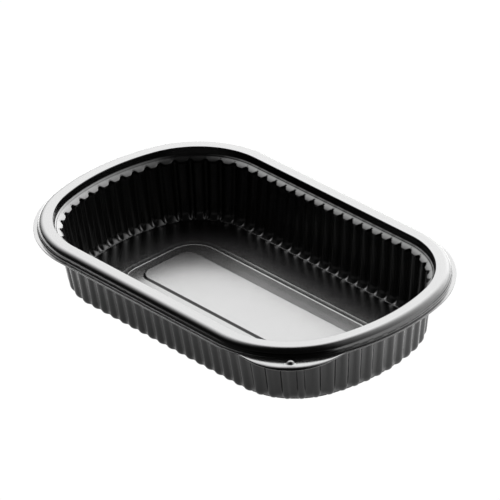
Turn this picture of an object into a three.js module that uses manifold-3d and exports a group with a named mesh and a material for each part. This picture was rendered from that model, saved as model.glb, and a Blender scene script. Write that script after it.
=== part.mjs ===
// A plastic meal tray, thermoformed in one piece from a thin sheet of black polypropylene.
// Millimetres. The tray is long in X, wide in Y, open upwards in Z, and stands on z = 0.
import * as THREE from "three";
import Module from "manifold-3d";
import { mergeVertices } from "three/addons/utils/BufferGeometryUtils.js";

// The sheet and the overall height, floor underside to rim top.
const SHEET = 0.7;
const HEIGHT = 38.7;

// Plan of the rim's inner edge: bowed ends, large corners and straight long sides.
const HALF_LENGTH = 105;
const HALF_WIDTH = 61.2;
const CORNER_RADIUS = 44.5;
const END_RADIUS = 101.1;

// The rim outside that edge: a flat top, a soft rounding, a skirt with a fine bead, and a flat lip.
const RIM_WIDTH = 7.6;
const RIM_ROUND = 3.4;
const BEAD_DROP = 3.7;
const BEAD_STEP = 0.35;
const LIP_DROP = 4.65;
const LIP_FALL = 0.15;
const LIP_WIDTH = 10.1;

// The lift tab, a lens-shaped widening of the lip at one corner, with a domed pip in its middle.
const TAB_ANGLE = THREE.MathUtils.degToRad(45.5);
const TAB_HALF_SWEEP = THREE.MathUtils.degToRad(28.6);
const TAB_REACH = 7.5;
const TAB_FULLNESS = 1.25;
const TAB_CLEARANCE = 1;
const PIP_OUT = 13;
const PIP_RADIUS = 2.25;
const PIP_HEIGHT = 1.5;

// Inside the rim's inner edge: an upright wall, a narrow sloping step and a shelf that slopes inwards.
const WALL_IN = 0.77;
const WALL_DROP = 3.49;
const STEP_IN = 1.5;
const STEP_DROP = 4.02;
const SHELF_START_IN = 1.7;
const SHELF_START_DROP = 4.35;
const SHELF_IN = 3;
const SHELF_DROP = 5.35;
const SHELF_SLOPE = 0.5;

// The ribbed wall: ribs bulge outwards from it, under the shelf's slight overhang at their tops, and
// fade into the rounding at its foot.
const RIBS_PER_QUARTER = 18.5;
const RIB_IN = 2.5;
const RIB_TOP_DROP = 8.2;
const RIB_DEPTH = 1.75;
const RIB_DEPTH_FADE = 1;
const RIB_UNDERCUT = 0.05;
const RIB_SHARE_TOP = 0.5;
const RIB_SHARE_FOOT = 0.42;
const RIB_SECTION = [[-0.5, 0], [-0.26, 0.87], [0, 1], [0.26, 0.87], [0.5, 0]];
const DRAFT = 0.1416;
const FOOT_RADIUS = 4.6;
const FADE_ANGLE = THREE.MathUtils.degToRad(45);
const SMOOTH_ANGLE = THREE.MathUtils.degToRad(72);

// The floor: a double bead around a gently rising band, and a raised flat panel in the middle.
const FLOOR_BEAD = { halfX: 72.7, halfY: 30.5, radius: 17.5, gap: 3.1, halfWidth: 0.8, height: 0.25, dip: 0.06 };
const PANEL = { halfX: 61.8, halfY: 16.4, radius: 6.3, riserWidth: 0.7, riserHeight: 0.5 };
const BAND_RISE = 0.3;

// Fineness: segments for each quarter of a smooth ring, and for the small round shapes.
const END_SEGMENTS = 4;
const CORNER_SEGMENTS = 12;
const SIDE_SEGMENTS = 4;
const FLOOR_END_SEGMENTS = 1;
const FLOOR_CORNER_SEGMENTS = 7;
const FLOOR_SIDE_SEGMENTS = 2;
const ROUND_SEGMENTS = 4;
const TAB_SEGMENTS = 26;
const PIP_SEGMENTS = 20;
const PIP_RINGS = 4;

// Centres and sweeps of the outline's arcs, which offset curves share.
const END_CENTRE_X = HALF_LENGTH - END_RADIUS;
const CORNER_CENTRE_Y = HALF_WIDTH - CORNER_RADIUS;
const CORNER_CENTRE_X = END_CENTRE_X
  + Math.sqrt((END_RADIUS - CORNER_RADIUS) ** 2 - CORNER_CENTRE_Y ** 2);
const END_SWEEP = Math.atan2(CORNER_CENTRE_Y, CORNER_CENTRE_X - END_CENTRE_X);
const CORNER_SWEEP = Math.PI / 2 - END_SWEEP;

// Stations are lengths along the wall's foot, anticlockwise from the +X end, where ribs are evenly spaced.
const FOOT_IN = 8.5;
const END_SPAN = END_SWEEP * (END_RADIUS - FOOT_IN);
const CORNER_SPAN = CORNER_SWEEP * (CORNER_RADIUS - FOOT_IN);
const QUARTER = END_SPAN + CORNER_SPAN + CORNER_CENTRE_X;
const PERIMETER = 4 * QUARTER;
const RIB_COUNT = 4 * RIBS_PER_QUARTER;
const RIB_PITCH = PERIMETER / RIB_COUNT;

/** Folds a station into the first quarter and gives the signs of the quarter it lies in. */
function foldStation(station) {
  const turned = ((station % PERIMETER) + PERIMETER) % PERIMETER;
  const quarter = Math.min(Math.floor(turned / QUARTER), 3);
  const along = turned - quarter * QUARTER;
  return {
    fromEnd: quarter % 2 === 0 ? along : QUARTER - along,
    signX: quarter === 0 || quarter === 3 ? 1 : -1,
    signY: quarter < 2 ? 1 : -1,
  };
}

/** A point at a station, a distance outside the rim's inner edge, at a height. */
function outlinePoint(station, out, z) {
  const { fromEnd, signX, signY } = foldStation(station);
  if (fromEnd < END_SPAN) {
    const angle = fromEnd / (END_RADIUS - FOOT_IN);
    const radius = END_RADIUS + out;
    return [signX * (END_CENTRE_X + radius * Math.cos(angle)), signY * radius * Math.sin(angle), z];
  }
  if (fromEnd < END_SPAN + CORNER_SPAN) {
    const angle = END_SWEEP + (fromEnd - END_SPAN) / (CORNER_RADIUS - FOOT_IN);
    const radius = CORNER_RADIUS + out;
    const x = CORNER_CENTRE_X + radius * Math.cos(angle);
    const y = CORNER_CENTRE_Y + radius * Math.sin(angle);
    return [signX * x, signY * y, z];
  }
  return [signX * (QUARTER - fromEnd), signY * (HALF_WIDTH + out), z];
}

/** A point at a station on a rounded rectangle, whose corners line up with the outline's corners. */
function rectanglePoint(station, { halfX, halfY, radius }, z) {
  const { fromEnd, signX, signY } = foldStation(station);
  if (fromEnd < END_SPAN) {
    return [signX * halfX, signY * (halfY - radius) * fromEnd / END_SPAN, z];
  }
  if (fromEnd < END_SPAN + CORNER_SPAN) {
    const angle = (Math.PI / 2) * (fromEnd - END_SPAN) / CORNER_SPAN;
    const x = halfX - radius + radius * Math.cos(angle);
    const y = halfY - radius + radius * Math.sin(angle);
    return [signX * x, signY * y, z];
  }
  const share = (QUARTER - fromEnd) / CORNER_CENTRE_X;
  return [signX * (halfX - radius) * share, signY * halfY, z];
}

/** Stations for a smooth ring, with a number of segments on each part of a quarter. */
function smoothStations(endSegments, cornerSegments, sideSegments) {
  const spread = (start, span, segments) => Array.from({ length: segments },
    (_, i) => start + span * i / segments);
  const quarter = [
    ...spread(0, END_SPAN, endSegments),
    ...spread(END_SPAN, CORNER_SPAN, cornerSegments),
    ...spread(END_SPAN + CORNER_SPAN, CORNER_CENTRE_X, sideSegments),
  ];
  const mirrored = quarter.map((station) => 2 * QUARTER - station).reverse();
  const half = [...quarter, QUARTER, ...mirrored.slice(0, -1)];
  return [...half, ...half.map((station) => station + 2 * QUARTER)];
}

const RING_STATIONS = smoothStations(END_SEGMENTS, CORNER_SEGMENTS, SIDE_SEGMENTS);
const FLOOR_STATIONS = smoothStations(FLOOR_END_SEGMENTS, FLOOR_CORNER_SEGMENTS, FLOOR_SIDE_SEGMENTS);

// The tab's middle and half length, as stations at the corner of +X and -Y.
const TAB_STATION = PERIMETER - END_SPAN - (TAB_ANGLE - END_SWEEP) * (CORNER_RADIUS - FOOT_IN);
const TAB_HALF_SPAN = TAB_HALF_SWEEP * (CORNER_RADIUS - FOOT_IN);

/** How far the tab widens the lip at a station. */
function tabReach(station) {
  const share = (station - TAB_STATION) / TAB_HALF_SPAN;
  return Math.abs(share) < 1 ? TAB_REACH * (1 - share * share) ** TAB_FULLNESS : 0;
}

/** Stations for the lip's edge: those of a smooth ring, closer together along the tab. */
function lipStations() {
  const plain = RING_STATIONS.filter((s) => Math.abs(s - TAB_STATION) > TAB_HALF_SPAN + TAB_CLEARANCE);
  const fine = Array.from({ length: TAB_SEGMENTS + 1 },
    (_, i) => TAB_STATION + TAB_HALF_SPAN * (2 * i / TAB_SEGMENTS - 1));
  return [...plain, ...fine].sort((a, b) => a - b);
}

/** A smooth ring that keeps one distance outside the rim's inner edge. */
function smoothRing(out, z) {
  return { stations: RING_STATIONS, points: RING_STATIONS.map((station) => outlinePoint(station, out, z)) };
}

/** A ring along the lip's edge, tab included. */
function lipRing(z) {
  const stations = lipStations();
  const points = stations.map((station) => outlinePoint(station, LIP_WIDTH + tabReach(station), z));
  return { stations, points };
}

/** A ring around the floor on a rounded rectangle. */
function floorRing(rectangle, z) {
  return { stations: FLOOR_STATIONS, points: FLOOR_STATIONS.map((s) => rectanglePoint(s, rectangle, z)) };
}

/** A ring through the ribbed wall. Its ribs' crests lie at one distance and height, and the rest of it
 *  may run lower by a slope. */
function ribRing(ribOut, depth, share, z, slope = 0) {
  const entries = [];
  for (let rib = 0; rib < RIB_COUNT; rib += 1) {
    for (const [across, bulge] of RIB_SECTION) {
      const station = (rib + across * share) * RIB_PITCH;
      const runIn = depth * (1 - bulge);
      const point = outlinePoint(station, ribOut - runIn, z - slope * runIn);
      entries.push({ station: (station + PERIMETER) % PERIMETER, point });
    }
  }
  entries.sort((a, b) => a.station - b.station);
  return { stations: entries.map((e) => e.station), points: entries.map((e) => e.point) };
}

/** The ring set off outwards in plan by a distance, with mitred corners, and lowered. */
function swollenRing(ring, distance, fall) {
  const count = ring.points.length;
  const normals = ring.points.map((point, i) => {
    const next = ring.points[(i + 1) % count];
    const edge = new THREE.Vector2(next[0] - point[0], next[1] - point[1]).normalize();
    return new THREE.Vector2(edge.y, -edge.x);
  });
  const points = ring.points.map((point, i) => {
    const before = normals[(i + count - 1) % count];
    const scale = distance / (1 + before.dot(normals[i]));
    return [
      point[0] + scale * (before.x + normals[i].x),
      point[1] + scale * (before.y + normals[i].y),
      point[2] - fall,
    ];
  });
  return { stations: ring.stations, points };
}

/** The rim's section on its upper side, from the shelf's edge out to the lip's edge, as [out, z]. */
function rimSection() {
  const section = [
    [-SHELF_IN, HEIGHT - SHELF_DROP],
    [-SHELF_START_IN, HEIGHT - SHELF_START_DROP],
    [-STEP_IN, HEIGHT - STEP_DROP],
    [-WALL_IN, HEIGHT - WALL_DROP],
    [0, HEIGHT],
  ];
  for (let i = 0; i <= ROUND_SEGMENTS; i += 1) {
    const angle = (Math.PI / 2) * i / ROUND_SEGMENTS;
    section.push([
      RIM_WIDTH - RIM_ROUND * (1 - Math.sin(angle)),
      HEIGHT - RIM_ROUND * (1 - Math.cos(angle)),
    ]);
  }
  section.push([RIM_WIDTH + BEAD_STEP, HEIGHT - BEAD_DROP - BEAD_STEP]);
  section.push([RIM_WIDTH + BEAD_STEP, HEIGHT - LIP_DROP]);
  section.push([LIP_WIDTH, HEIGHT - LIP_DROP - LIP_FALL]);
  return section;
}

/** The section's underside: each inner corner set off by the sheet's thickness. */
function undersideSection(section) {
  const normals = section.slice(1).map(([out, z], i) => {
    const along = new THREE.Vector2(out - section[i][0], z - section[i][1]).normalize();
    return new THREE.Vector2(along.y, -along.x);
  });
  return section.slice(1, -1).map(([out, z], i) => {
    const scale = SHEET / (1 + normals[i].dot(normals[i + 1]));
    return [out + scale * (normals[i].x + normals[i + 1].x), z + scale * (normals[i].y + normals[i + 1].y)];
  });
}

/** Distance outside the rim's inner edge of the ribs' crests, on the wall's inside, at a height. */
function ribOutAt(z) {
  return -RIB_IN - DRAFT * (HEIGHT - RIB_TOP_DROP - z);
}

// The rounding at the wall's foot shares one centre inside and outside.
const DRAFT_ANGLE = Math.atan(DRAFT);
const FOOT_CENTRE_Z = SHEET + FOOT_RADIUS;
const FOOT_CENTRE_OUT = ribOutAt(FOOT_CENTRE_Z) - FOOT_RADIUS / Math.cos(DRAFT_ANGLE);

/** The foot rounding's point at an angle below the horizontal, as [out, z]. */
function footPoint(radius, angle) {
  return [FOOT_CENTRE_OUT + radius * Math.cos(angle), FOOT_CENTRE_Z - radius * Math.sin(angle)];
}

/** The floor's rings from the middle outwards, at the height of its flat outer band. */
function floorRings(z) {
  const { halfX, halfY, radius, riserWidth, riserHeight } = PANEL;
  const { gap, halfWidth, height, dip } = FLOOR_BEAD;
  const panelFoot = { halfX: halfX + riserWidth, halfY: halfY + riserWidth, radius: radius + riserWidth };
  const shrunk = (by) => ({
    halfX: FLOOR_BEAD.halfX - by, halfY: FLOOR_BEAD.halfY - by, radius: FLOOR_BEAD.radius - by,
  });
  return [
    floorRing({ halfX, halfY, radius }, z + BAND_RISE + riserHeight),
    floorRing(panelFoot, z + BAND_RISE),
    floorRing(shrunk(gap + halfWidth), z),
    floorRing(shrunk(gap), z + height),
    floorRing(shrunk(gap - halfWidth), z + dip),
    floorRing(shrunk(halfWidth), z + dip),
    floorRing(shrunk(0), z + height),
    floorRing(shrunk(-halfWidth), z),
  ];
}

/** The ribbed wall's rings on the inside, from the foot's fade up to the shelf's edge. */
function ribRings() {
  const [fadeOut, fadeZ] = footPoint(FOOT_RADIUS, FADE_ANGLE);
  const [startOut, startZ] = footPoint(FOOT_RADIUS, DRAFT_ANGLE);
  return [
    ribRing(fadeOut, RIB_DEPTH_FADE, RIB_SHARE_FOOT, fadeZ),
    ribRing(startOut, RIB_DEPTH, RIB_SHARE_FOOT, startZ),
    ribRing(-RIB_IN, RIB_DEPTH, RIB_SHARE_TOP, HEIGHT - RIB_TOP_DROP),
    ribRing(-SHELF_IN, RIB_DEPTH, RIB_SHARE_TOP, HEIGHT - SHELF_DROP, SHELF_SLOPE),
  ];
}

/** The wall's rings and its foot on the inside, from the floor up. */
function innerWallRings() {
  return [
    smoothRing(...footPoint(FOOT_RADIUS, Math.PI / 2)),
    smoothRing(...footPoint(FOOT_RADIUS, SMOOTH_ANGLE)),
    ...ribRings(),
  ];
}

/** The same rings on the outside, from the shelf's underside down to the floor's. */
function outerWallRings() {
  const radius = FOOT_RADIUS + SHEET;
  const [fade, start, top, shelf] = ribRings();
  return [
    swollenRing(shelf, SHEET, SHEET + RIB_UNDERCUT),
    swollenRing(top, SHEET, 0),
    swollenRing(start, SHEET * Math.cos(DRAFT_ANGLE), SHEET * Math.sin(DRAFT_ANGLE)),
    swollenRing(fade, SHEET * Math.cos(FADE_ANGLE), SHEET * Math.sin(FADE_ANGLE)),
    smoothRing(...footPoint(radius, SMOOTH_ANGLE)),
    smoothRing(...footPoint(radius, Math.PI / 2)),
  ];
}

/** All rings in order: up the inside, over the rim to the lip's edge, and back down the outside. */
function trayRings() {
  const section = rimSection();
  const lipZ = section[section.length - 1][1];
  return [
    ...floorRings(SHEET),
    ...innerWallRings(),
    ...section.slice(1, -1).map(([out, z]) => smoothRing(out, z)),
    lipRing(lipZ),
    lipRing(lipZ - SHEET),
    ...undersideSection(section).reverse().map(([out, z]) => smoothRing(out, z)),
    ...outerWallRings(),
    ...floorRings(0).reverse(),
  ];
}

/** Joins two neighbouring rings with triangles, always stepping along the ring that lags behind. */
function addStrip(indices, a, b) {
  let i = 0;
  let j = 0;
  const stationAt = (ring, k) => ring.stations[k] ?? PERIMETER + ring.stations[0];
  while (i < a.stations.length || j < b.stations.length) {
    const fromA = a.first + (i % a.stations.length);
    const fromB = b.first + (j % b.stations.length);
    const stepA = j >= b.stations.length
      || (i < a.stations.length && stationAt(a, i + 1) <= stationAt(b, j + 1));
    if (stepA) {
      indices.push(fromA, fromB, a.first + ((i + 1) % a.stations.length));
      i += 1;
    } else {
      indices.push(fromA, fromB, b.first + ((j + 1) % b.stations.length));
      j += 1;
    }
  }
}

/** Closes a ring with triangles around its middle, facing up or down. */
function addCap(positions, indices, ring, facesUp) {
  const count = ring.points.length;
  const centre = positions.length / 3;
  positions.push(0, 0, ring.points[0][2]);
  for (let i = 0; i < count; i += 1) {
    const here = ring.first + i;
    const next = ring.first + ((i + 1) % count);
    indices.push(centre, facesUp ? here : next, facesUp ? next : here);
  }
}

/** The closed skin lofted through the rings, with a flat cap over the first and the last. */
function loftedGeometry(rings) {
  const positions = [];
  const indices = [];
  const placed = rings.map((ring) => {
    const first = positions.length / 3;
    positions.push(...ring.points.flat());
    return { ...ring, first };
  });
  placed.slice(1).forEach((ring, i) => addStrip(indices, placed[i], ring));
  addCap(positions, indices, placed[0], true);
  addCap(positions, indices, placed[placed.length - 1], false);
  const geometry = new THREE.BufferGeometry();
  geometry.setAttribute("position", new THREE.Float32BufferAttribute(positions, 3));
  geometry.setIndex(indices);
  return geometry;
}

/** A dome that stands on a short plug, with its foot at z = 0. */
function domeGeometry(radius, height, plugDepth) {
  const profile = [new THREE.Vector2(0, -plugDepth), new THREE.Vector2(radius, -plugDepth)];
  for (let i = 0; i <= PIP_RINGS; i += 1) {
    const angle = (Math.PI / 2) * i / PIP_RINGS;
    profile.push(new THREE.Vector2(i === PIP_RINGS ? 0 : radius * Math.cos(angle), height * Math.sin(angle)));
  }
  return new THREE.LatheGeometry(profile, PIP_SEGMENTS).rotateX(Math.PI / 2);
}

const wasm = await Module();
wasm.setup();

/** The solid bounded by a geometry's surface. */
function solidFrom(geometry) {
  const bare = geometry.clone();
  bare.deleteAttribute("normal");
  bare.deleteAttribute("uv");
  const merged = mergeVertices(bare);
  return new wasm.Manifold(new wasm.Mesh({
    numProp: 3,
    vertProperties: new Float32Array(merged.attributes.position.array),
    triVerts: new Uint32Array(merged.index.array),
  }));
}

/** The surface of a solid as a geometry. */
function geometryFrom(solid) {
  const mesh = solid.getMesh();
  const geometry = new THREE.BufferGeometry();
  geometry.setAttribute("position", new THREE.BufferAttribute(new Float32Array(mesh.vertProperties), 3));
  geometry.setIndex(new THREE.BufferAttribute(new Uint32Array(mesh.triVerts), 1));
  geometry.computeVertexNormals();
  return geometry;
}

/** The whole tray: the lofted sheet, with the tab's pip raised from above and hollow below. */
function trayGeometry() {
  const tabZ = HEIGHT - LIP_DROP - LIP_FALL;
  const place = outlinePoint(TAB_STATION, PIP_OUT, tabZ);
  const pip = domeGeometry(PIP_RADIUS, PIP_HEIGHT, SHEET / 2).translate(...place);
  const hollow = domeGeometry(PIP_RADIUS - SHEET, PIP_HEIGHT - SHEET, 2 * SHEET).translate(...place);
  const sheet = solidFrom(loftedGeometry(trayRings()));
  return geometryFrom(sheet.add(solidFrom(pip)).subtract(solidFrom(hollow)));
}

const polypropylene = new THREE.MeshStandardMaterial({ color: 0x0c0c0d, roughness: 0.16, metalness: 0 });

const tray = new THREE.Mesh(trayGeometry(), polypropylene);
tray.name = "tray";

const part = new THREE.Group();
part.name = "plastic_meal_tray";
part.add(tray);

export default part;
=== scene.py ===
"""A black polypropylene meal tray, thermoformed in one piece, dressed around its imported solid.

Sizes are in millimetres and meshes in metres, in the part's own frame: X along the tray, Y across
it, Z up, with the tray standing on z = 0. One sheet is drawn up ring by ring from the floor's
middle to the lip's edge, given its thickness, and stands for the solid of the same name.
"""

import logging
import math
from dataclasses import dataclass, field
from enum import Enum
from typing import Callable, Iterator

import bmesh
import bpy
from bmesh.types import BMEdge, BMesh, BMFace, BMVert
from mathutils import Matrix, Vector


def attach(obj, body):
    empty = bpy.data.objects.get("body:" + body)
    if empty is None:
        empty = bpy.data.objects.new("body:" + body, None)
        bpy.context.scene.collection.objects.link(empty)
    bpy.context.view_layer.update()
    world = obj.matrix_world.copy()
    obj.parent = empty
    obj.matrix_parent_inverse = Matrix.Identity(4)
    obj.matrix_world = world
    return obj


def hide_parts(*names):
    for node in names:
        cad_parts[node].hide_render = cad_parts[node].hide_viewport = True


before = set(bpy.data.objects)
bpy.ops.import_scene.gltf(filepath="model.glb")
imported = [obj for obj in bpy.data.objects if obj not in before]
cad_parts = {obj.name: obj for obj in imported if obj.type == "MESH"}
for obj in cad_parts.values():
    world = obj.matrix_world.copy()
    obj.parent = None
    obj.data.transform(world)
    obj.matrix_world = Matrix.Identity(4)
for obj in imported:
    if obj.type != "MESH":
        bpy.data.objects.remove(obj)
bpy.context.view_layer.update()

LOG = logging.getLogger("meal_tray")
MM = 0.001
Place = Callable[[int], Vector]


class Ease(Enum):
    """How a value runs between the two ends of its range."""

    LINEAR = "LINEAR"
    SMOOTH = "SMOOTHSTEP"


def linear_colour(code: str) -> tuple[float, float, float, float]:
    """Turns an sRGB hex colour into linear light.

    Args:
        code: Six hex digits after a hash.

    Returns:
        Red, green, blue and an alpha of one.
    """
    parts = [int(code[i:i + 2], 16) / 255 for i in (1, 3, 5)]
    red, green, blue = (c / 12.92 if c <= 0.04045 else ((c + 0.055) / 1.055) ** 2.4 for c in parts)
    return red, green, blue, 1.0


def add_node(tree: bpy.types.NodeTree, kind: str, settings: dict[str | int, object],
             links: dict[str | int, bpy.types.NodeSocket]) -> bpy.types.Node:
    """Adds one node to a tree.

    Args:
        tree: The tree that takes the node.
        kind: The node's type name.
        settings: Values by attribute name, or by input socket name or number.
        links: Output sockets of other nodes by the input they feed.

    Returns:
        The new node.
    """
    node = tree.nodes.new(kind)
    for name, value in settings.items():
        if isinstance(name, str) and hasattr(node, name):
            setattr(node, name, value)
        else:
            node.inputs[name].default_value = value
    for name, socket in links.items():
        tree.links.new(socket, node.inputs[name])
    return node


def smooth(share: float) -> float:
    """Eases a share of 0 to 1 in and out."""
    held = min(max(share, 0.0), 1.0)
    return held * held * (3 - 2 * held)


@dataclass(frozen=True)
class RoundedRectangle:
    """A rounded rectangle around the middle of the floor, by its half sizes and corner radius."""

    half_x: float
    half_y: float
    radius: float

    def grown(self, by: float) -> "RoundedRectangle":
        """The same shape set off outwards by a distance."""
        return RoundedRectangle(self.half_x + by, self.half_y + by, self.radius + by)


@dataclass(frozen=True)
class Outline:
    """Plan of the rim's inner edge: bowed ends, large corners and straight long sides.

    A station is a length along the foot of the wall, anticlockwise from the +X end. The ribs are
    evenly spaced there.
    """

    half_length: float = 105.0
    half_width: float = 61.2
    corner_radius: float = 44.5
    end_radius: float = 101.1
    foot_in: float = 8.5
    ribs_per_quarter: float = 18.5

    @property
    def end_centre(self) -> float:
        """X of the centre of an end's bow."""
        return self.half_length - self.end_radius

    @property
    def corner_centre(self) -> tuple[float, float]:
        """Centre of a corner's arc."""
        y = self.half_width - self.corner_radius
        return self.end_centre + math.sqrt((self.end_radius - self.corner_radius) ** 2 - y * y), y

    @property
    def end_sweep(self) -> float:
        """Angle of half an end's bow."""
        x, y = self.corner_centre
        return math.atan2(y, x - self.end_centre)

    @property
    def end_span(self) -> float:
        """Length of half an end's bow along the wall's foot."""
        return self.end_sweep * (self.end_radius - self.foot_in)

    @property
    def corner_span(self) -> float:
        """Length of a corner along the wall's foot."""
        return (math.pi / 2 - self.end_sweep) * (self.corner_radius - self.foot_in)

    @property
    def quarter(self) -> float:
        """Length of a quarter of the outline along the wall's foot."""
        return self.end_span + self.corner_span + self.corner_centre[0]

    @property
    def perimeter(self) -> float:
        """Length all round the wall's foot."""
        return 4 * self.quarter

    @property
    def rib_count(self) -> int:
        """How many ribs stand round the wall."""
        return round(4 * self.ribs_per_quarter)

    @property
    def rib_pitch(self) -> float:
        """Distance from rib to rib along the wall's foot."""
        return self.perimeter / self.rib_count

    def folded(self, station: float) -> tuple[float, float, float]:
        """Folds a station into the first quarter.

        Args:
            station: A length along the wall's foot.

        Returns:
            The length from the nearest end, and the signs of X and Y in that quarter.
        """
        turned = station % self.perimeter
        number = min(int(turned / self.quarter), 3)
        along = turned - number * self.quarter
        from_end = along if number % 2 == 0 else self.quarter - along
        return from_end, 1.0 if number in (0, 3) else -1.0, 1.0 if number < 2 else -1.0

    def point(self, station: float, out: float, z: float) -> Vector:
        """A point at a station.

        Args:
            station: Where along the outline.
            out: Distance outside the rim's inner edge.
            z: Height.

        Returns:
            The point in metres.
        """
        from_end, sign_x, sign_y = self.folded(station)
        centre_x, centre_y = self.corner_centre
        if from_end < self.end_span:
            angle = from_end / (self.end_radius - self.foot_in)
            reach = self.end_radius + out
            x, y = self.end_centre + reach * math.cos(angle), reach * math.sin(angle)
        elif from_end < self.end_span + self.corner_span:
            angle = self.end_sweep + (from_end - self.end_span) / (self.corner_radius - self.foot_in)
            reach = self.corner_radius + out
            x, y = centre_x + reach * math.cos(angle), centre_y + reach * math.sin(angle)
        else:
            x, y = self.quarter - from_end, self.half_width + out
        return Vector((sign_x * x, sign_y * y, z)) * MM

    def on_rectangle(self, station: float, shape: RoundedRectangle, z: float) -> Vector:
        """The point of a rounded rectangle that answers to a station, corner for corner.

        Args:
            station: Where along the outline.
            shape: The rounded rectangle.
            z: Height.

        Returns:
            The point in metres.
        """
        from_end, sign_x, sign_y = self.folded(station)
        if from_end < self.end_span:
            x, y = shape.half_x, (shape.half_y - shape.radius) * from_end / self.end_span
        elif from_end < self.end_span + self.corner_span:
            angle = math.pi / 2 * (from_end - self.end_span) / self.corner_span
            x = shape.half_x - shape.radius + shape.radius * math.cos(angle)
            y = shape.half_y - shape.radius + shape.radius * math.sin(angle)
        else:
            x = (shape.half_x - shape.radius) * (self.quarter - from_end) / self.corner_centre[0]
            y = shape.half_y
        return Vector((sign_x * x, sign_y * y, z)) * MM


@dataclass(frozen=True)
class Ribs:
    """The wall's ribs, which bulge outwards: a round crest, straight flanks and soft edges."""

    depth: float = 1.75
    crest_radius: float = 1.25
    edge_radius: float = 1.15
    steepness: float = 0.74
    least_depth: float = 0.6

    def section(self, depth: float) -> list[tuple[float, float]]:
        """The section of half a rib, from its crest to the flat land beside it.

        Args:
            depth: How far the crest stands out from the land.

        Returns:
            Pairs of the distance from the rib's middle and the share of the depth.
        """
        full = max(depth, self.least_depth)
        radii = self.crest_radius + self.edge_radius
        lean = self.steepness * math.acos(1 - min(full / radii, 2.0))
        flank = (full - radii * (1 - math.cos(lean))) / math.sin(lean)
        width = radii * math.sin(lean) + flank * math.cos(lean)
        crest = [(self.crest_radius * math.sin(t), full - self.crest_radius * (1 - math.cos(t)))
                 for t in (0.0, lean / 2, lean)]
        edge = [(width - self.edge_radius * math.sin(t), self.edge_radius * (1 - math.cos(t)))
                for t in (lean, 0.0)]
        return [(across, rise / full) for across, rise in crest + edge]


@dataclass(frozen=True)
class FloorForm:
    """The floor: a raised flat panel, a band that falls away from it, and a double bead around.

    The panel's edge and the band step outwards by shares of their width, each with its share of the
    rise. The bead steps outwards in millimetres, each with its height above the floor.
    """

    panel: RoundedRectangle = RoundedRectangle(61.8, 16.3, 6.3)
    riser_width: float = 1.4
    riser_height: float = 1.05
    band_rise: float = 0.2
    bead: RoundedRectangle = RoundedRectangle(72.45, 30.24, 17.2)
    riser_steps: tuple[tuple[float, float], ...] = (
        (0.0, 1.0), (0.09, 0.95), (0.27, 0.76), (0.5, 0.5), (0.73, 0.24), (0.91, 0.05), (1.0, 0.0))
    band_steps: tuple[tuple[float, float], ...] = ((0.35, 0.56), (0.7, 0.2))
    bead_steps: tuple[tuple[float, float], ...] = (
        (-3.7, 0.0), (-3.15, 0.05), (-2.8, 0.12), (-2.4, 0.05), (-1.4, 0.04), (-0.35, 0.04),
        (0.02, 0.1), (0.36, 0.1), (1.0, 0.0))

    def rings(self) -> Iterator[tuple[RoundedRectangle, float]]:
        """Runs through the floor's rings from the middle outwards.

        Yields:
            Each ring's shape and its height above the floor.
        """
        for share, rise in self.riser_steps:
            yield self.panel.grown(self.riser_width * share), self.band_rise + self.riser_height * rise
        foot = self.panel.grown(self.riser_width * self.riser_steps[-1][0])
        inner = self.bead.grown(self.bead_steps[0][0])
        for share, rise in self.band_steps:
            yield RoundedRectangle(
                foot.half_x + (inner.half_x - foot.half_x) * share,
                foot.half_y + (inner.half_y - foot.half_y) * share,
                foot.radius + (inner.radius - foot.radius) * share), self.band_rise * rise
        for by, rise in self.bead_steps:
            yield self.bead.grown(by), rise


@dataclass(frozen=True)
class LiftTab:
    """The lens-shaped widening of the lip at one corner, with a domed pip in its middle."""

    angle: float = math.radians(45.5)
    half_sweep: float = math.radians(28.6)
    reach: float = 8.8
    fullness: float = 1.25
    pip_out: float = 13.0
    pip_radius: float = 2.25
    pip_height: float = 1.5
    pip_round: float = 0.6
    pip_sunk: float = 0.1
    pip_foot: float = 0.12
    pip_margin: float = 1.4
    cuts: int = 4

    def middle(self, outline: Outline) -> float:
        """The station of the tab's middle, at the corner of +X and -Y."""
        foot_radius = outline.corner_radius - outline.foot_in
        return outline.perimeter - outline.end_span - (self.angle - outline.end_sweep) * foot_radius

    def widening(self, outline: Outline, station: float) -> float:
        """How far the tab widens the lip.

        Args:
            outline: The tray's outline.
            station: Where along it.

        Returns:
            The tab's width beyond the lip's own, in millimetres.
        """
        half = self.half_sweep * (outline.corner_radius - outline.foot_in)
        share = (station % outline.perimeter - self.middle(outline)) / half
        return self.reach * (1 - share * share) ** self.fullness if abs(share) < 1 else 0.0

    def pip_rise(self, away: float) -> float:
        """How far the pip stands up from the tab.

        Args:
            away: Distance from the pip's middle.

        Returns:
            The rise, from a dome or from the soft foot around it, whichever is higher.
        """
        share = min(away / self.pip_radius, 1.0)
        dome = math.sqrt(1 - share * share)
        foot = smooth(1 - (away - self.pip_radius + self.pip_round) / (2 * self.pip_round))
        return self.pip_height * max(dome - self.pip_sunk, self.pip_foot * foot)


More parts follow.
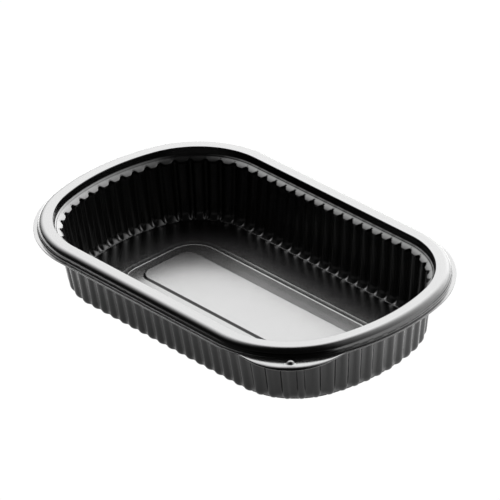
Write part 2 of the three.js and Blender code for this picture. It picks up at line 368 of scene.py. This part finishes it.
@dataclass(frozen=True)
class Polypropylene:
    """Black polypropylene sheet, thermoformed: glossy, and duller the deeper it was drawn.

    The sheet was rolled flat, heated and sucked against a mould, so the eye gets broad soft waves
    in the reflections, faint straight lines from the rolling, and a fine grain from the mould.
    """

    name: str = "black_polypropylene_sheet"
    slot: str = "black_polypropylene"
    dark: str = "#020202"
    light: str = "#060606"
    roughness: float = 0.175
    drawn_roughness: float = 0.225
    roughness_spread: float = 0.025
    ior: float = 1.49
    wave_mm: float = 22.0
    wave_height_mm: float = 0.02
    mottle_mm: float = 5.5
    roll_line_mm: float = 1.6
    roll_line_height_mm: float = 0.0012
    roll_line_stretch: float = 50.0
    grain_mm: float = 0.5
    grain_height_mm: float = 0.0003
    drawn_from_mm: float = 33.5
    drawn_to_mm: float = 1.5

    def material(self) -> bpy.types.Material:
        """Builds the finish.

        Returns:
            The material, whose patterns follow Object coordinates in metres.
        """
        made = bpy.data.materials.new(self.name)
        made.use_nodes = True
        tree = made.node_tree
        tree.nodes.clear()
        place = add_node(tree, "ShaderNodeTexCoord", {}, {}).outputs["Object"]
        height = add_node(tree, "ShaderNodeSeparateXYZ", {}, {0: place}).outputs["Z"]
        waves = self.noise(tree, place, self.wave_mm, 2.0)
        # One rolling line every millimetre or two, run out along the sheet; drawn coarser than
        # the real ones, which are too fine to show.
        along = add_node(tree, "ShaderNodeMapping", {
            "Scale": (1 / self.roll_line_stretch, 1.0, 1.0)}, {"Vector": place})
        lines = self.noise(tree, along.outputs[0], self.roll_line_mm, 2.0)
        # The mould's grain is about 0.1 mm; it is drawn at half a millimetre so that it shows.
        grain = self.noise(tree, place, self.grain_mm, 3.0)
        tint = add_node(tree, "ShaderNodeMix", {
            "data_type": "RGBA", 6: linear_colour(self.dark), 7: linear_colour(self.light),
        }, {0: waves}).outputs[2]
        drawn = add_node(tree, "ShaderNodeMapRange", {
            "interpolation_type": Ease.LINEAR.value,
            "From Min": self.drawn_from_mm * MM, "From Max": self.drawn_to_mm * MM,
            "To Min": self.roughness, "To Max": self.drawn_roughness,
        }, {"Value": height}).outputs[0]
        mottle = add_node(tree, "ShaderNodeMapRange", {
            "To Min": -self.roughness_spread, "To Max": self.roughness_spread,
        }, {"Value": self.noise(tree, place, self.mottle_mm, 4.0)}).outputs[0]
        dull = add_node(tree, "ShaderNodeMath", {"operation": "ADD"}, {0: drawn, 1: mottle}).outputs[0]
        normal = None
        for pattern, depth in ((waves, self.wave_height_mm), (lines, self.roll_line_height_mm),
                               (grain, self.grain_height_mm)):
            links = {"Height": pattern} if normal is None else {"Height": pattern, "Normal": normal}
            normal = add_node(tree, "ShaderNodeBump", {"Distance": depth * MM}, links).outputs[0]
        shader = add_node(tree, "ShaderNodeBsdfPrincipled", {"IOR": self.ior, "Metallic": 0.0},
                          {"Base Color": tint, "Roughness": dull, "Normal": normal})
        add_node(tree, "ShaderNodeOutputMaterial", {}, {"Surface": shader.outputs[0]})
        return made

    def noise(self, tree: bpy.types.NodeTree, place: bpy.types.NodeSocket, size_mm: float,
              detail: float) -> bpy.types.NodeSocket:
        """A cloudy pattern whose patches are a given number of millimetres across."""
        settings = {"Scale": 1 / (size_mm * MM), "Detail": detail}
        return add_node(tree, "ShaderNodeTexNoise", settings, {"Vector": place}).outputs[0]


@dataclass
class TraySheet:
    """The whole tray as one formed sheet.

    Distances out are from the rim's inner edge, and drops are from the rim's top. A ledge step holds
    its drop, its distance out, the ribs' depth and the ring's slope; a step of the shoulder or the
    skirt holds its distance out and its drop; a lip step holds its share of the lip's width and the
    tab's crown there.
    """

    name: str = "formed_sheet"
    node: str = "tray"
    body: str = "root"
    outline: Outline = field(default_factory=Outline)
    ribs: Ribs = field(default_factory=Ribs)
    floor: FloorForm = field(default_factory=FloorForm)
    tab: LiftTab = field(default_factory=LiftTab)
    finish: Polypropylene = field(default_factory=Polypropylene)
    sheet: float = 0.7
    height: float = 38.7
    rib_in: float = 2.2
    ledge_drop: float = 6.1
    draft: float = 0.1416
    foot_radius: float = 4.6
    foot_angles: tuple[float, ...] = (90, 80, 72, 63, 52, 40, 28, 16)
    fade_end: float = 79.0
    fade_power: float = 4.0
    wall_shares: tuple[float, ...] = (0.0, 0.33, 0.67)
    wall_top_drop: float = 9.0
    ledge_steps: tuple[tuple[float, float, float, float], ...] = (
        (7.3, -2.56, 1.75, 0.1), (6.2, -2.75, 1.75, 0.4), (5.65, -2.88, 1.75, 0.5),
        (5.4, -2.98, 1.68, 0.5), (5.27, -3.16, 1.45, 0.5), (5.2, -3.3, 0.0, 0.0))
    shoulder: tuple[tuple[float, float], ...] = (
        (-2.3, 4.68), (-1.78, 4.42), (-1.64, 4.3), (-1.54, 4.1), (-1.42, 3.99), (-0.95, 3.7),
        (-0.8, 3.55), (-0.73, 3.25), (-0.09, 0.4), (-0.03, 0.14), (0.08, 0.02), (0.26, 0.0))
    rim_width: float = 7.6
    rim_round: float = 3.05
    rim_segments: int = 8
    skirt: tuple[tuple[float, float], ...] = (
        (7.62, 3.62), (7.76, 3.76), (7.9, 3.86), (7.95, 4.02), (7.96, 4.48), (8.1, 4.64))
    lip_in: float = 8.3
    lip_width: float = 10.1
    lip_drop: float = 4.65
    lip_steps: tuple[tuple[float, float], ...] = (
        (0.0, 0.0), (0.25, 0.24), (0.5, 0.46), (0.75, 0.6), (0.88, 0.42), (1.0, -0.3))
    edge_round: float = 0.16
    edge_segments: int = 2
    edge_lean: float = 0.3
    edge_band: tuple[float, float] = (-0.2, 1.3)
    edge_margin: float = 0.3
    shading_weight: int = 50

    def rib_out_at(self, z: float) -> float:
        """Distance outside the rim's inner edge of the ribs' crests inside, at a height."""
        return -self.rib_in - self.draft * (self.height - self.ledge_drop - z)

    def stations(self, depth: float) -> list[tuple[float, float]]:
        """Where a ring's corners lie along the outline, and how far each is out on its rib.

        Args:
            depth: Depth of the ribs in that ring.

        Returns:
            Pairs of a station and the share of the rib's depth there.
        """
        half = self.ribs.section(depth)
        pitch = self.outline.rib_pitch
        one = [*half, *((pitch - across, rise) for across, rise in half[:0:-1])]
        return [(number * pitch + across, rise)
                for number in range(self.outline.rib_count) for across, rise in one]

    def ribbed(self, rib_out: float, depth: float, z: float, slope: float = 0.0) -> Place:
        """A ring through the ribbed wall.

        Args:
            rib_out: Where the ribs' crests lie, outside the rim's inner edge.
            depth: Depth of the ribs.
            z: Height at the crests.
            slope: How much lower the ring runs for each millimetre further in.

        Returns:
            A function from a corner's number to its place.
        """
        spots = self.stations(depth)

        def place(i: int) -> Vector:
            """The corner's place."""
            run_in = depth * (1 - spots[i][1])
            return self.outline.point(spots[i][0], rib_out - run_in, z - slope * run_in)

        return place

    def plain(self, out: float, z: float) -> Place:
        """A smooth ring at one distance outside the rim's inner edge."""
        spots = self.stations(self.ribs.depth)
        return lambda i: self.outline.point(spots[i][0], out, z)

    def floor_ring(self, shape: RoundedRectangle, z: float) -> Place:
        """A ring of the floor on a rounded rectangle, with its corners evenly spaced."""
        step = self.outline.perimeter / len(self.stations(0.0))
        return lambda i: self.outline.on_rectangle(i * step, shape, z)

    def lip_ring(self, share: float, crown: float) -> Place:
        """A ring of the lip, which the tab widens and crowns.

        Args:
            share: Where across the lip's width.
            crown: Height of the tab's crown there.

        Returns:
            A function from a corner's number to its place.
        """
        spots = self.stations(self.ribs.depth)
        z = self.height - self.lip_drop

        def place(i: int) -> Vector:
            """The corner's place."""
            station = spots[i][0]
            wider = self.tab.widening(self.outline, station)
            out = self.lip_in + (self.lip_width + wider - self.lip_in) * share
            return self.outline.point(station, out, z + crown * wider / self.tab.reach)

        return place

    def foot_point(self, angle: float) -> tuple[float, float]:
        """A point on the inside of the rounding at the wall's foot.

        Args:
            angle: How far round it, from level with its centre down to the floor.

        Returns:
            The distance out and the height.
        """
        centre_z = self.sheet + self.foot_radius
        centre_out = self.rib_out_at(centre_z) - self.foot_radius / math.cos(math.atan(self.draft))
        return (centre_out + self.foot_radius * math.cos(angle),
                centre_z - self.foot_radius * math.sin(angle))

    def rings(self) -> Iterator[Place]:
        """Runs through the rings of the sheet's upper side, from the floor's panel to the lip's edge.

        Yields:
            Each ring's function from a corner's number to its place.
        """
        for shape, rise in self.floor.rings():
            yield self.floor_ring(shape, self.sheet + rise)
        lean = math.degrees(math.atan(self.draft))
        for degrees in self.foot_angles:
            out, z = self.foot_point(math.radians(degrees))
            gone = max(degrees - lean, 0.0) / (self.fade_end - lean)
            yield self.ribbed(out, self.ribs.depth * max(1 - gone ** self.fade_power, 0.0), z)
        start = self.foot_point(math.radians(lean))[1]
        top = self.height - self.wall_top_drop
        for share in self.wall_shares:
            z = start + (top - start) * share
            yield self.ribbed(self.rib_out_at(z), self.ribs.depth, z)
        for drop, out, depth, slope in self.ledge_steps:
            yield self.ribbed(out, depth, self.height - drop, slope)
        for out, drop in self.shoulder:
            yield self.plain(out, self.height - drop)
        for step in range(self.rim_segments + 1):
            angle = math.pi / 2 * step / self.rim_segments
            yield self.plain(self.rim_width - self.rim_round * (1 - math.sin(angle)),
                             self.height - self.rim_round * (1 - math.cos(angle)))
        for out, drop in self.skirt:
            yield self.plain(out, self.height - drop)
        for share, crown in self.lip_steps:
            yield self.lip_ring(share, crown)

    def draw_up(self, bm: BMesh, loop: list[BMVert], edges: list[BMEdge], place: Place
                ) -> tuple[list[BMVert], list[BMEdge]]:
        """Extrudes the sheet's free edge and moves it to its next ring.

        Args:
            bm: The mesh.
            loop: The free edge's vertices in order.
            edges: The free edge's edges.
            place: Where each vertex of the new ring goes.

        Returns:
            The new free edge's vertices in order, and its edges.
        """
        made = bmesh.ops.extrude_edge_only(bm, edges=edges)["geom"]
        fresh = {item for item in made if isinstance(item, BMVert)}
        ordered = []
        for number, vert in enumerate(loop):
            partner = next(edge.other_vert(vert) for edge in vert.link_edges
                           if edge.other_vert(vert) in fresh)
            partner.co = place(number)
            ordered.append(partner)
        free = [item for item in made if isinstance(item, BMEdge)
                and item.verts[0] in fresh and item.verts[1] in fresh]
        return ordered, free

    def raise_pip(self, bm: BMesh) -> None:
        """Subdivides the middle of the tab and draws its pip up.

        Args:
            bm: The mesh.
        """
        tab = self.tab
        middle = self.outline.point(tab.middle(self.outline), tab.pip_out,
                                    self.height - self.lip_drop)
        reach = (tab.pip_radius + tab.pip_margin) * MM
        near = [edge for edge in bm.edges
                if ((edge.verts[0].co + edge.verts[1].co) / 2 - middle).length < reach]
        bmesh.ops.subdivide_edges(bm, edges=near, cuts=tab.cuts, use_grid_fill=True)
        for vert in bm.verts:
            away = (vert.co.xy - middle.xy).length / MM
            if away < tab.pip_radius + tab.pip_round and abs(vert.co.z - middle.z) < MM:
                vert.co.z += tab.pip_rise(away) * MM

    def round_edge(self, bm: BMesh) -> None:
        """Rounds the two corners of the lip's cut edge.

        Args:
            bm: The mesh, with its thickness.
        """
        under = self.height - self.lip_drop - self.sheet
        low, high = ((under + by) * MM for by in self.edge_band)
        reach = (self.outline.half_width + self.lip_width - self.edge_margin) * MM

        def outermost(face: BMFace) -> bool:
            """Whether the face is part of the cut edge."""
            return (abs(face.normal.z) < self.edge_lean
                    and all(low < vert.co.z < high for vert in face.verts)
                    and any(vert.co.xy.length > reach for vert in face.verts))

        cut = {face for face in bm.faces if outermost(face)}
        corners = [edge for edge in bm.edges
                   if len(edge.link_faces) == 2 and sum(face in cut for face in edge.link_faces) == 1]
        bmesh.ops.bevel(bm, geom=corners, offset=self.edge_round * MM, segments=self.edge_segments,
                        profile=0.5, affect="EDGES", material=-1)

    def build(self) -> bpy.types.Object:
        """Makes the sheet, gives it its thickness and finish, and puts it on its body.

        Returns:
            The tray's object.
        """
        bm = bmesh.new()
        rings = self.rings()
        count = len(self.stations(0.0))
        loop = bmesh.ops.create_circle(bm, cap_ends=True, segments=count, radius=1.0)["verts"]
        first = next(rings)
        for number, vert in enumerate(loop):
            vert.co = first(number)
        edges = list(bm.edges)
        for place in rings:
            loop, edges = self.draw_up(bm, loop, edges, place)
        self.raise_pip(bm)
        bmesh.ops.recalc_face_normals(bm, faces=bm.faces)
        panel = max(bm.faces, key=lambda face: len(face.verts))
        if panel.normal.z < 0:
            bmesh.ops.reverse_faces(bm, faces=bm.faces)
        bmesh.ops.solidify(bm, geom=bm.faces[:], thickness=self.sheet * MM)
        self.round_edge(bm)
        for face in bm.faces:
            face.smooth = True
        mesh = bpy.data.meshes.new(self.name)
        bm.to_mesh(mesh)
        bm.free()
        mesh.materials.append(self.finish.material())
        made = bpy.data.objects.new(self.name, mesh)
        bpy.context.scene.collection.objects.link(made)
        weighted = made.modifiers.new("even_shading", "WEIGHTED_NORMAL")
        weighted.weight = self.shading_weight
        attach(made, self.body)
        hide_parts(self.node)
        return made


@dataclass(frozen=True)
class StudioFloor:
    """A plain white board, lit a little from beneath, which is burnt out where the camera sees it.

    It lights the tray's walls from below. The light from beneath is painted light: a glow in the
    board's own colour. In front of the tray, where the tray's shadow falls, the colour and the glow
    are darkened to a painted shade, which runs over a range of distances along the front direction.
    """

    name: str = "studio_floor"
    half_size: float = 4.0
    gap_mm: float = 0.2
    paint: str = "#fafafa"
    # Painted shade: the board's colour and glow in front of the tray, where its shadow falls.
    shade: str = "#2c2c2c"
    # Strength of the board's painted glow, which stands in for light from beneath.
    glow: float = 0.55
    front: tuple[float, float] = (-0.29, 0.957)
    shade_mm: tuple[float, float] = (-140.0, -88.0)
    seen: float = 1.02

    def build(self) -> bpy.types.Object:
        """Makes the floor.

        Returns:
            The floor's object.
        """
        bm = bmesh.new()
        bmesh.ops.create_grid(bm, x_segments=1, y_segments=1, size=self.half_size)
        mesh = bpy.data.meshes.new(self.name)
        bm.to_mesh(mesh)
        bm.free()
        made = bpy.data.objects.new(self.name, mesh)
        bpy.context.scene.collection.objects.link(made)
        material = bpy.data.materials.new("matt_white_board_painted_shade")
        material.use_nodes = True
        tree = material.node_tree
        tree.nodes.clear()
        place = add_node(tree, "ShaderNodeTexCoord", {}, {}).outputs["Object"]
        depth = add_node(tree, "ShaderNodeVectorMath", {
            "operation": "DOT_PRODUCT", 1: (*self.front, 0.0)}, {0: place})
        # Share of white paint against painted shade, by distance along the front direction.
        lit = add_node(tree, "ShaderNodeMapRange", {
            "interpolation_type": Ease.SMOOTH.value,
            "From Min": self.shade_mm[0] * MM, "From Max": self.shade_mm[1] * MM,
        }, {"Value": depth.outputs["Value"]}).outputs[0]
        # The board's colour with the painted shade in front of the tray.
        painted_shade_tone = add_node(tree, "ShaderNodeMix", {
            "data_type": "RGBA", 6: linear_colour(self.shade), 7: linear_colour(self.paint),
        }, {0: lit}).outputs[2]
        face = add_node(tree, "ShaderNodeBsdfDiffuse", {}, {"Color": painted_shade_tone})
        # The painted glow, darkened in front by the same painted shade.
        lamp = add_node(tree, "ShaderNodeEmission", {"Strength": self.glow}, {"Color": painted_shade_tone})
        board = add_node(tree, "ShaderNodeAddShader", {}, {0: face.outputs[0], 1: lamp.outputs[0]})
        burnt = add_node(tree, "ShaderNodeEmission", {"Strength": self.seen}, {})
        path = add_node(tree, "ShaderNodeLightPath", {}, {})
        both = add_node(tree, "ShaderNodeMixShader", {}, {
            0: path.outputs["Is Camera Ray"], 1: board.outputs[0], 2: burnt.outputs[0]})
        add_node(tree, "ShaderNodeOutputMaterial", {}, {"Surface": both.outputs[0]})
        mesh.materials.append(material)
        made.location.z = -self.gap_mm * MM
        return made


@dataclass(frozen=True)
class Backdrop:
    """A large bright cloth behind the tray, which fades to both sides, to the floor and overhead.

    Angles are in degrees. A side's fade ends at its reach and takes up the width given. The cloth
    hangs askew: its lower edge rises towards the left by the tilt.
    """

    middle: float = 135.0
    brightness: float = 14.0
    fill: float = 0.05
    left: tuple[float, float] = (128.0, 98.0)
    right: tuple[float, float] = (145.0, 120.0)
    softness: float = 1.55
    low: tuple[float, float] = (-18.0, 45.0)
    tilt: float = 0.42
    high: tuple[float, float] = (46.0, 80.0)
    seen: float = 1.02

    def build(self) -> None:
        """Sets the world's light."""
        world = bpy.data.worlds.new("studio_light")
        bpy.context.scene.world = world
        world.use_nodes = True
        tree = world.node_tree
        tree.nodes.clear()
        place = add_node(tree, "ShaderNodeTexCoord", {}, {}).outputs["Generated"]
        turned = add_node(tree, "ShaderNodeVectorRotate", {
            "rotation_type": "Z_AXIS", "Angle": math.radians(-self.middle)}, {"Vector": place})
        axes = add_node(tree, "ShaderNodeSeparateXYZ", {}, {0: turned.outputs[0]})
        swing = self.math(tree, "ARCTAN2", axes.outputs["Y"], axes.outputs["X"])
        to_left = self.fade(tree, swing, self.left)
        to_right = self.fade(tree, self.math(tree, "MULTIPLY", swing, -1.0), self.right)
        sides = self.math(tree, "POWER", self.math(tree, "MINIMUM", to_left, to_right), self.softness)
        height = self.math(tree, "ARCSINE", axes.outputs["Z"])
        askew = self.math(tree, "SUBTRACT", height, self.math(tree, "MULTIPLY", swing, self.tilt))
        low = add_node(tree, "ShaderNodeMapRange", {
            "interpolation_type": Ease.SMOOTH.value, "From Min": math.radians(self.low[0]),
            "From Max": math.radians(self.low[1])}, {"Value": askew})
        high = add_node(tree, "ShaderNodeMapRange", {
            "interpolation_type": Ease.SMOOTH.value, "From Min": math.radians(self.high[1]),
            "From Max": math.radians(self.high[0])}, {"Value": height})
        light = self.math(tree, "MULTIPLY", self.math(tree, "MULTIPLY", low.outputs[0], high.outputs[0]),
                          self.math(tree, "MULTIPLY", sides, self.brightness))
        filled = self.math(tree, "ADD", light, self.fill)
        path = add_node(tree, "ShaderNodeLightPath", {}, {})
        strength = add_node(tree, "ShaderNodeMix", {"data_type": "FLOAT", 3: self.seen},
                            {0: path.outputs["Is Camera Ray"], 2: filled})
        glow = add_node(tree, "ShaderNodeBackground", {}, {"Strength": strength.outputs[0]})
        add_node(tree, "ShaderNodeOutputWorld", {}, {"Surface": glow.outputs[0]})

    def fade(self, tree: bpy.types.NodeTree, swing: bpy.types.NodeSocket,
             side: tuple[float, float]) -> bpy.types.NodeSocket:
        """One side's fade, from 1 in the middle to 0 at its reach."""
        reach, width = side
        return add_node(tree, "ShaderNodeMapRange", {
            "From Min": math.radians(reach), "From Max": math.radians(reach - width),
        }, {"Value": swing}).outputs[0]

    def math(self, tree: bpy.types.NodeTree, operation: str, first: bpy.types.NodeSocket,
             second: bpy.types.NodeSocket | float | None = None) -> bpy.types.NodeSocket:
        """Adds a sum of one or two values.

        Args:
            tree: The tree that takes the node.
            operation: The sum's name.
            first: The first value's socket.
            second: The second value, a socket or a number, where there is one.

        Returns:
            The result's socket.
        """
        settings, links = {"operation": operation}, {0: first}
        if isinstance(second, float):
            settings[1] = second
        elif second is not None:
            links[1] = second
        return add_node(tree, "ShaderNodeMath", settings, links).outputs[0]


@dataclass(frozen=True)
class Viewpoint:
    """The photograph's long-lens view, tilted a little, over the tray's near long side.

    The values come from fitting the tray's outline to the photograph.
    """

    azimuth: float = math.radians(49.528)
    elevation: float = math.radians(30.263)
    roll: float = math.radians(-3.333)
    distance: float = 2771.8
    lens: float = 400.03
    slide_right: float = 3.898
    slide_up: float = -4.564
    aim_height: float = 38.7
    sensor: float = 36.0
    clip: tuple[float, float] = (0.05, 50.0)

    @property
    def back(self) -> Vector:
        """Direction from the tray to the camera."""
        level = math.cos(self.elevation)
        return Vector((math.sin(self.azimuth) * level, -math.cos(self.azimuth) * level,
                       math.sin(self.elevation)))

    def build(self) -> None:
        """Makes the scene's camera."""
        right = (-self.back).cross(Vector((0, 0, 1))).normalized()
        up = right.cross(-self.back)
        turn = Matrix.Rotation(self.roll, 3, self.back)
        right, up = turn @ right, turn @ up
        camera = bpy.data.objects.new("camera", bpy.data.cameras.new("camera"))
        bpy.context.scene.collection.objects.link(camera)
        place = (Vector((0, 0, self.aim_height)) + right * self.slide_right + up * self.slide_up
                 + self.back * self.distance) * MM
        axes = Matrix((right, up, self.back)).transposed().to_4x4()
        camera.matrix_world = Matrix.Translation(place) @ axes
        camera.data.lens = self.lens
        camera.data.sensor_width = self.sensor
        camera.data.clip_start, camera.data.clip_end = self.clip
        bpy.context.scene.camera = camera


def main() -> None:
    """Builds the view, the light, the floor and the tray, in that order."""
    logging.basicConfig(level=logging.INFO)
    bpy.context.scene.view_settings.view_transform = "Standard"
    Viewpoint().build()
    Backdrop().build()
    for piece in (StudioFloor(), TraySheet()):
        made = piece.build()
        LOG.info("%s: %d faces", made.name, len(made.data.polygons))


if __name__ == "__main__":
    main()
